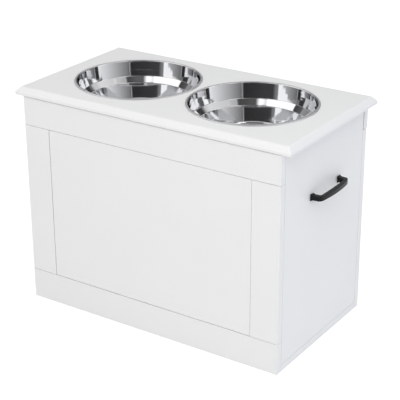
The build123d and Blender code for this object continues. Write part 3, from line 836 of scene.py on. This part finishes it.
@dataclass
class Bowls:
    """The two spun steel bowls, alike."""

    rim_width: float = 5.5 * MM
    rim_outer_round: float = 1.9 * MM
    rim_inner_round: float = 1.7 * MM
    step_depth: float = 28.5 * MM
    step_height: float = 11.0 * MM
    upper_lean: float = 5.4 * MM
    step_width: float = 9.0 * MM
    lower_lean: float = 7.5 * MM
    wall_bow: float = 0.2 * MM
    bow_radius: float = 350.0 * MM
    step_round: float = 2.0 * MM
    floor_round: float = 16.0 * MM
    floor_ring: float = 62.0 * MM
    floor_rise: float = 0.8 * MM
    rise_run: float = 8.0 * MM
    rise_round: float = 60.0 * MM
    steel: float = 1.0 * MM
    seat: float = 0.1 * MM
    satin_share: float = 0.8
    crease_angle: float = 50.0
    steps: int = 192
    longest_run: float = 2.0 * MM
    round_turn: float = 3.0

    def profile(self, radius: float, top: float, floor: float) -> list[Pair]:
        """Draw the polished inner face, from the rim's edge to the middle of the floor.

        Args:
            radius: the rim's outer radius.
            top: the height of the rim's crown.
            floor: the height of the floor's upper face.

        Returns:
            The points of the rounded outline.
        """
        wall = radius - self.rim_width
        foot = wall - self.upper_lean
        head = foot - self.step_width
        base = head - self.lower_lean
        return rounded(
            [
                (radius, self.seat, 0),
                (radius, top, self.rim_outer_round),
                (wall, top, self.rim_inner_round),
                ((wall + foot) / 2 + self.wall_bow, -self.step_depth / 2, self.bow_radius),
                (foot, -self.step_depth, self.step_round),
                (head, -self.step_depth - self.step_height, self.step_round),
                (base, floor, self.floor_round),
                (self.floor_ring, floor, self.rise_round),
                (self.floor_ring - self.rise_run, floor + self.floor_rise, self.rise_round),
                (0, floor + self.floor_rise, 0),
            ],
            self.longest_run,
            self.round_turn,
        )

    def spun(self) -> Piece:
        """Spin the left bowl, give it the steel's thickness and mark its unpolished outside.

        Returns:
            The bowl, at its place.
        """
        low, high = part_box("left_bowl")
        lid_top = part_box("lid_board")[1].z
        centre = Vector((*middle((low, high)).xy, lid_top))
        profile = self.profile((high.x - low.x) / 2, high.z - lid_top, low.z + self.steel - lid_top)
        bowl = turned("left_steel_bowl", profile, centre, UP, self.steps)
        apply(bowl, "SOLIDIFY", thickness=self.steel, offset=-1.0, use_even_offset=True)
        heart = centre - UP * self.step_depth
        marks = bowl.data.attributes.new("outside", "FLOAT", "FACE")
        for face, mark in zip(bowl.data.polygons, marks.data):
            mark.value = float(face.center.z < centre.z and face.normal.dot(face.center - heart) > 0)
        shade(bowl, self.crease_angle)
        return bowl

    def build(self, shop: Workshop) -> None:
        """Spin one bowl, copy it to the other hole and polish both.

        Args:
            shop: the workshop that finishes the pieces.
        """
        left = self.spun()
        shift = middle(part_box("right_bowl")) - middle(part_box("left_bowl"))
        right = copy(left, "right_steel_bowl", shift)
        for side, bowl in ((Side.LEFT, left), (Side.RIGHT, right)):
            node = f"{side.value}_bowl"
            low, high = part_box(node)
            rim = (high.x - low.x) / 2 - self.rim_width + self.rim_inner_round * self.satin_share
            finish = PolishedSteel(f"polished_steel_{side.value}", tuple(middle((low, high))), rim)
            shop.hand_over(bowl, "polished_steel", node, finish=finish.material())


@dataclass
class PullHandles:
    """The two black bow pulls, one on each side of the cabinet."""

    pitch: float = 101.6 * MM
    reach: float = 25.0 * MM
    end_reach: float = 20.5 * MM
    bar_thickness: float = 5.3 * MM
    end_height: float = 9.2 * MM
    bar_height: float = 9.0 * MM
    inner_bow: float = 0.3
    end_slope: float = 1.5 * MM
    post_width: float = 9.6 * MM
    post_lean: float = 2.5 * MM
    foot_width: float = 10.8 * MM
    foot_height: float = 12.4 * MM
    foot_plate: float = 1.4 * MM
    foot_flare: float = 5.0 * MM
    outer_bend: float = 5.6 * MM
    inner_bend: float = 2.5 * MM
    inner_bend_shift: float = 1.2 * MM
    bend_slack: Pair = (1.6 * MM, 0.3 * MM)
    edge_round: float = 1.1 * MM
    stations: int = 9

    def __post_init__(self) -> None:
        """Find where the right handle stands on its wall and what the parts of its bar share."""
        low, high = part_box("right_handle")
        self.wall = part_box("right_side_panel")[1].x
        self.mid = Vector((self.wall, (low.y + high.y) / 2, (low.z + high.z) / 2))
        self.half = self.pitch / 2 + self.post_width / 2 - self.post_lean
        self.clear = self.half - self.post_width
        self.inner = self.end_reach - self.bar_thickness

    def bar(self) -> Piece:
        """Shape the bowed bar, before its posts.

        Returns:
            The bar, divided along its length.
        """
        mid = self.mid
        low = Vector((self.wall + self.inner, mid.y - self.half, mid.z - self.end_height / 2))
        high = Vector((self.wall + self.end_reach, mid.y + self.half, mid.z + self.end_height / 2))
        bar = block("right_bow_handle", low, high)
        outer = self.wall + self.end_reach - NEAR
        cuts = [self.clear * (2 * step / (self.stations - 1) - 1) for step in range(self.stations)]
        with editing(bar):
            for cut in cuts:
                bpy.ops.mesh.select_all(action="SELECT")
                bpy.ops.mesh.bisect(plane_co=(self.wall, mid.y + cut, mid.z), plane_no=(0, 1, 0))
            for cut in cuts:
                share = 1 - (cut / self.half) ** 2
                bow = (self.reach - self.end_reach) * share
                pick(bar, Part.VERT, lambda point: abs(point.y - mid.y - cut) < NEAR)
                bpy.ops.transform.translate(value=(bow * self.inner_bow, 0, 0))
                swell = 1 + (self.bar_height / self.end_height - 1) * share
                bpy.ops.transform.resize(value=(1, 1, swell), center_override=mid)
                pick(bar, Part.VERT, lambda point: abs(point.y - mid.y - cut) < NEAR and point.x > outer)
                bpy.ops.transform.translate(value=(bow * (1 - self.inner_bow), 0, 0))
            pick(bar, Part.VERT, lambda point: abs(point.y - mid.y) > self.half - NEAR and point.x > outer)
            bpy.ops.transform.translate(value=(-self.end_slope, 0, 0))
        return bar

    def posts(self, bar: Piece) -> None:
        """Extrude the two posts with their flared feet out of the bar's inner face.

        Args:
            bar: the bowed bar.
        """
        lean, mid_y = self.post_lean / self.end_reach, self.mid.y
        with editing(bar):
            for end in (-1, 1):
                pick(bar, Part.FACE, lambda at, way: way.x < -FACING and end * (at.y - mid_y) > self.clear)
                for start, stop in ((self.inner, self.foot_flare), (self.foot_flare, self.foot_plate)):
                    drop = start - stop
                    extrude((-drop, end * drop * lean, 0))
                widen = (1, self.foot_width / self.post_width, self.foot_height / self.end_height)
                foot = Vector((self.wall, mid_y + end * self.pitch / 2, self.mid.z))
                bpy.ops.transform.resize(value=widen, center_override=foot)
                extrude((-self.foot_plate, 0, 0))

    def rounding(self, bar: Piece) -> None:
        """Round the bends between bar and posts, then ease every edge.

        Args:
            bar: the handle.
        """
        with editing(bar):
            for reach, along, radius in (
                (self.end_reach, self.half, self.outer_bend),
                (self.inner + self.inner_bend_shift, self.clear, self.inner_bend),
            ):
                pick(
                    bar,
                    Part.EDGE,
                    lambda a, b: abs(a.z - b.z) > self.end_height / 2
                    and abs(a.x - self.wall - reach) < self.bend_slack[0]
                    and abs(abs(a.y - self.mid.y) - along) < self.bend_slack[1],
                )
                bpy.ops.mesh.bevel(offset=radius, segments=5)
        ease(bar, self.edge_round, segments=3, degrees=32)
        smooth(bar, degrees=40)

    def build(self, shop: Workshop) -> None:
        """Model the right handle and turn a copy of it to the left side.

        Args:
            shop: the workshop that finishes the pieces.
        """
        right = self.bar()
        self.posts(right)
        self.rounding(right)
        left = copy(right, "left_bow_handle", Vector())
        pivot = Matrix.Translation((0, self.mid.y, 0))
        left.data.transform(pivot @ Matrix.Rotation(math.pi, 4, "Z") @ pivot.inverted())
        shop.hand_over(right, "black_metal", "right_handle")
        shop.hand_over(left, "black_metal", "left_handle")


class HeadShape(Enum):
    """The shapes of screw head, as points of the crown.

    Each has its share of the head's radius, what is taken off that, and its depth.
    """

    COUNTERSUNK = ((0.0, 0.0, 0.0), (1.0, 0.15 * MM, 0.0), (1.0, 0.0, 0.12 * MM))
    PAN = ((0.0, 0.0, 0.0), (0.45, 0.0, 0.1 * MM), (0.8, 0.0, 0.6 * MM), (1.0, 0.0, 1.4 * MM))


@dataclass
class Screws:
    """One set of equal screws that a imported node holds.

    A set without an axis holds the handles from inside: its screws point away from the middle.
    """

    node: str
    name: str
    shape: HeadShape
    axis: Vector | None
    shank: float
    head_height: float
    steps: int = 20
    pitch: float = 1.1 * MM
    root_share: float = 0.76
    flanks: Pair = (0.25, 0.6)
    recess_share: float = 1.15
    recess_width: float = 0.22
    recess_depth: float = 0.6

    def profile(self, head: float, length: float) -> list[Pair]:
        """Draw a screw from the middle of its head to its tip.

        Args:
            head: the head's radius.
            length: the whole length.

        Returns:
            Radius and depth of each point.
        """
        crown = [(head * share - inset, depth) for share, inset, depth in self.shape.value]
        if self.shape is HeadShape.PAN:
            crown.append((head, self.head_height))
        crown.append((self.shank, self.head_height))
        root = self.shank * self.root_share
        tip = length - self.shank
        turns = int((tip - self.head_height) / self.pitch)
        thread, (low, high) = [], self.flanks
        for turn in range(turns):
            depth = tip - (turns - turn) * self.pitch
            thread += [(root, depth + low * self.pitch), (self.shank, depth + high * self.pitch)]
        return [*crown, *thread, (root, tip), (0, length)]

    def model(self, box: Box) -> Piece:
        """Turn one screw and cut the cross in its head.

        Args:
            box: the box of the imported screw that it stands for.

        Returns:
            The screw.
        """
        size = box[1] - box[0]
        axis = Vector((math.copysign(1, middle(box).x), 0, 0)) if self.axis is None else self.axis
        length = abs(size.dot(axis))
        across = axis.orthogonal().normalized()
        head = abs(size.dot(Vector(abs(value) for value in across))) / 2
        crown = middle(box) - axis * length / 2
        screw = turned(self.name, self.profile(head, length), crown, axis, self.steps)
        long, wide = head * self.recess_share / 2, head * self.recess_width / 2
        other = axis.cross(across)
        for along, beside in ((across, other), (other, across)):
            reach = Vector(
                long * abs(a) + wide * abs(b) + self.head_height * self.recess_depth * abs(c)
                for a, b, c in zip(along, beside, axis)
            )
            carve(screw, block("slot", crown - reach, crown + reach))
        smooth(screw, degrees=30)
        return screw

    def build(self, shop: Workshop) -> None:
        """Model one screw and copy it, or model each where they point apart, and join the set.

        Args:
            shop: the workshop that finishes the pieces.
        """
        boxes = solids_of(self.node)
        if self.axis is None:
            made = join(self.name, [self.model(box) for box in boxes])
        else:
            made = repeat(self.name, self.model(boxes[0]), boxes)
        shop.hand_over(made, "plated_steel", self.node)


@dataclass
class Hardware:
    """The hinges and lid stays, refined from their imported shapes, and all the screws."""

    leaf_edge: float = 0.2 * MM
    stay_edge: float = 0.25 * MM

    def build(self, shop: Workshop) -> None:
        """Build the hardware of both sides and the sets of screws.

        Args:
            shop: the workshop that finishes the pieces.
        """
        for side in Side:
            for node, name, edge in (
                ("hinge_cabinet_leaf", "hinge_leaf_on_rail", self.leaf_edge),
                ("hinge_lid_leaf", "hinge_leaf_on_lid", self.leaf_edge),
                ("hinge_pin", "hinge_rivet_pin", self.leaf_edge),
                ("stay_arm", "slotted_arm", self.stay_edge),
                ("stay_bracket", "arm_bracket", self.stay_edge),
                ("stay_pin", "shoulder_pin", self.stay_edge),
            ):
                shop.refine(f"{side.value}_{node}", f"{side.value}_{name}", "plated_steel", edge)
        shop.refine("stay_rivets", "arm_rivets", "plated_steel", self.stay_edge)
        forward, sunk = Vector((0, -1, 0)), HeadShape.COUNTERSUNK
        for screws in (
            Screws("cabinet_hinge_screws", "rail_leaf_screws", sunk, forward, 1.5 * MM, 1.1 * MM),
            Screws("lid_hinge_screws", "lid_leaf_screws", sunk, UP, 1.5 * MM, 1.1 * MM),
            Screws("stay_bracket_screws", "bracket_screws", sunk, UP, 1.5 * MM, 1.1 * MM),
            Screws("base_screws", "bottom_board_screws", sunk, UP, 2.5 * MM, 2.0 * MM),
            Screws("handle_screws", "handle_pan_screws", HeadShape.PAN, None, 2.0 * MM, 2.4 * MM, 24),
        ):
            screws.build(shop)


# ---- studio
@dataclass
class Lamp:
    """A square soft box."""

    name: str
    place: Triple
    size: float
    power: float
    colour: Colour = (1.0, 1.0, 1.0)
    aim: Triple = (0.0, 0.0, 0.25)

    def build(self) -> None:
        """Hang the lamp and turn it to what it lights."""
        data = bpy.data.lights.new(self.name, "AREA")
        data.shape = "SQUARE"
        data.size = self.size
        data.energy = self.power
        data.color = self.colour
        lamp = bpy.data.objects.new(self.name, data)
        bpy.context.scene.collection.objects.link(lamp)
        lamp.location = self.place
        lamp.rotation_euler = (Vector(self.aim) - Vector(self.place)).to_track_quat("-Z", "Y").to_euler()
        lamp.visible_glossy = False


@dataclass(frozen=True)
class Card:
    """A card of the light tent, as polished metal sees it: where it stands and how light it is.

    Turns are degrees round from the front, to the right; rises are degrees above the horizon.
    """

    name: str
    turn: Pair
    rise: Pair
    tone: Pair
    soft_turn: float = 6.0
    soft_rise: float = 6.0

    def hang(self, graph: Graph, way: tuple[Socket, Socket], behind: Socket) -> Socket:
        """Lay the card over the tones behind it.

        Args:
            graph: the world's tree.
            way: the turn and the rise of the direction that is looked at.
            behind: the tone that shows round the card.

        Returns:
            The tone with the card in front.
        """
        offsets, masks = [], []
        for angle, ends, soft in zip(way, (self.turn, self.rise), (self.soft_turn, self.soft_rise)):
            half = (ends[1] - ends[0]) / 2
            off = graph.sum("WRAP", graph.sum("SUBTRACT", angle, sum(ends) / 2), 180.0, -180.0)
            far = graph.sum("ABSOLUTE", off)
            offsets.append(off)
            masks.append(graph.ranged(far, (half + soft / 2, half - soft / 2), soft=True))
        half = (self.turn[1] - self.turn[0]) / 2
        tone = graph.ranged(offsets[0], (-half, half), self.tone)
        front = graph.blend(graph.sum("MULTIPLY", *masks), behind, tone)
        front.node.label = self.name
        return front


TENT = (
    Card("grey scrim at the left and front", (-112, 45), (-90, 33), (0.17, 1.15), 3, 8),
    Card("upper edge of the scrim", (-48, 45), (30, 42), (0.56, 1.15), 8, 6),
    Card("bright window at the right", (62, 120), (-90, 33), (1.15, 1.15), 4, 8),
    Card("shade beside the window", (119, 160), (-90, 27), (0.28, 0.04), 3, 8),
    Card("charcoal curtain behind", (134, 250), (-90, 27), (0.052, 0.028), 16, 8),
    Card("grey wall over the shade", (84, 140), (30, 52), (0.60, 0.80), 14, 4),
    Card("gap beside the curtain", (-111, -109.6), (-90, 33), (0.75, 0.75), 0.6, 8),
    Card("grey card over the camera", (-5, 60), (28, 48), (0.20, 0.26), 6, 6),
    Card("grey card high over the camera", (-6, 42), (47, 57), (0.25, 0.25), 6, 3),
    Card("black card beside the camera", (6, 46), (17.5, 30), (0.07, 0.07), 6, 3),
    Card("grey bench at the right", (38, 80), (2, 19), (0.15, 0.40), 4, 3),
    Card("end of the grey bench", (76, 91), (2, 17), (0.38, 0.46), 4, 3),
    Card("corner of the grey bench", (88, 102), (2, 15), (0.44, 0.52), 4, 3),
    Card("camera stand", (19, 37), (2, 17.5), (0.03, 0.03), 3, 3),
    Card("dark table edge", (-8, 51), (-8, 4), (0.09, 0.04), 8, 2),
    Card("grey table edge", (51, 96), (-8, 4), (0.16, 0.55), 1, 2),
    Card("dark strip at the right", (80, 108), (26, 37), (0.10, 0.16), 4, 3),
    Card("black card at the front", (-28, -2), (30, 42), (0.045, 0.045), 4, 3),
    Card("dark strip at the left", (-88, -70), (24, 40), (0.11, 0.05), 3, 4),
    Card("black card high at the right", (17, 76), (50, 66), (0.09, 0.07), 14, 4),
    Card("grey card high at the right", (75, 101), (51, 65), (0.44, 0.64), 4, 4),
    Card("grey ceiling", (-65, 150), (63, 95), (0.42, 0.30), 10, 8),
    Card("black ceiling behind", (-190, -65), (66, 95), (0.07, 0.07), 10, 4),
    Card("pale middle of the ceiling", (-190, 190), (83, 97), (0.5, 0.5), 4, 5),
)


@dataclass
class Studio:
    """The pale floor, the light tent and the camera."""

    floor_size: float = 60.0
    floor_colour: Colour = (0.82, 0.82, 0.82)
    floor_lift: float = 0.5
    sky: float = 0.71
    sky_colour: Colour = (0.992, 0.996, 0.995)
    tent_front: float = 1.2
    tent_back: float = 0.62
    tent_seam: float = -112.0
    tent_fade: Pair = (63.0, 148.0)
    lamps: tuple[Lamp, ...] = (
        Lamp("front_box", (0.95, -1.9, 2.2), 1.4, 24.0, (1.0, 0.99, 0.965)),
        Lamp("right_box", (2.2, 0.1, 0.9), 1.4, 3.9, (0.5, 0.62, 1.0)),
        Lamp("top_box", (0.3, 0.2, 2.8), 1.8, 3.5),
    )
    lens: float = 112.579
    sensor: float = 36.0
    camera_place: Triple = (1.241217, -1.843644, 1.182165)
    camera_turn: Triple = (66.54298, 0.24079, 33.61673)

    def floor(self) -> None:
        """Lay a pale floor that is white to the camera but keeps the shadow on it."""
        bpy.ops.mesh.primitive_plane_add(size=self.floor_size, location=(0, 0, 0))
        floor = bpy.context.object
        floor.name = "studio_floor"
        made = bpy.data.materials.new("pale_floor")
        graph = Graph(made)
        ray = graph.node("LightPath").outputs
        eye = graph.sum("MAXIMUM", ray["Is Camera Ray"], ray["Is Glossy Ray"])
        diffuse = graph.node("BsdfDiffuse", {"Color": (*self.floor_colour, 1.0)}).outputs[0]
        lift = graph.sum("MULTIPLY", eye, self.floor_lift)
        glow = graph.node("Emission", {"Color": WHITE, "Strength": lift}).outputs[0]
        shader = graph.node("AddShader", {0: diffuse, 1: glow}).outputs[0]
        graph.node("OutputMaterial", {"Surface": shader})
        floor.data.materials.append(made)

    def tent(self, graph: Graph) -> Socket:
        """Draw the light tent with its cards, as polished metal sees it.

        Args:
            graph: the world's tree.

        Returns:
            The tone of each direction.
        """
        seen = graph.node("TexCoord").outputs["Generated"]
        right, back, up = graph.node("SeparateXYZ", {"Vector": seen}).outputs
        around = graph.sum("ARCTAN2", right, graph.sum("MULTIPLY", back, -1.0))
        turn = graph.sum("DEGREES", around)
        rise = graph.sum("DEGREES", graph.sum("ARCSINE", up))
        from_seam = graph.sum("WRAP", turn, self.tent_seam + 360.0, self.tent_seam)
        tone = graph.ranged(from_seam, self.tent_fade, (self.tent_front, self.tent_back), soft=True)
        for card in TENT:
            tone = card.hang(graph, (turn, rise), tone)
        return tone

    def world(self) -> None:
        """Make the surroundings: white to the camera, a tent of cards to metal, even to the rest."""
        world = bpy.data.worlds.new("studio")
        bpy.context.scene.world = world
        graph = Graph(world)
        ray = graph.node("LightPath").outputs
        looks = ((*self.sky_colour, 1.0), self.sky), (self.tent(graph), 1.0), (WHITE, 1.0)
        even, tent, white = (
            graph.node("Background", {"Color": colour, "Strength": power}).outputs[0]
            for colour, power in looks
        )
        metal = graph.sum("MAXIMUM", ray["Is Glossy Ray"], ray["Is Transmission Ray"])
        lit = graph.node("MixShader", {0: metal, 1: even, 2: tent}).outputs[0]
        mixed = graph.node("MixShader", {0: ray["Is Camera Ray"], 1: lit, 2: white}).outputs[0]
        graph.node("OutputWorld", {"Surface": mixed})

    def camera(self) -> None:
        """Stand the camera at the front right, looking slightly down."""
        data = bpy.data.cameras.new("camera")
        data.sensor_width = self.sensor
        data.lens = self.lens
        camera = bpy.data.objects.new("camera", data)
        bpy.context.scene.collection.objects.link(camera)
        camera.location = self.camera_place
        camera.rotation_euler = tuple(math.radians(angle) for angle in self.camera_turn)
        bpy.context.scene.camera = camera

    def build(self) -> None:
        """Set up the whole studio."""
        self.floor()
        self.world()
        for lamp in self.lamps:
            lamp.build()
        self.camera()
        bpy.context.scene.view_settings.view_transform = "Standard"


def main() -> None:
    """Build the feeder's sub-assemblies in order, then the studio."""
    logging.basicConfig(level=logging.INFO, format="%(message)s", stream=sys.stdout)
    shop = Workshop()
    for assembly in (Cabinet(), Lid(), Bowls(), PullHandles(), Hardware()):
        assembly.build(shop)
    Studio().build()


if __name__ == "__main__":
    main()
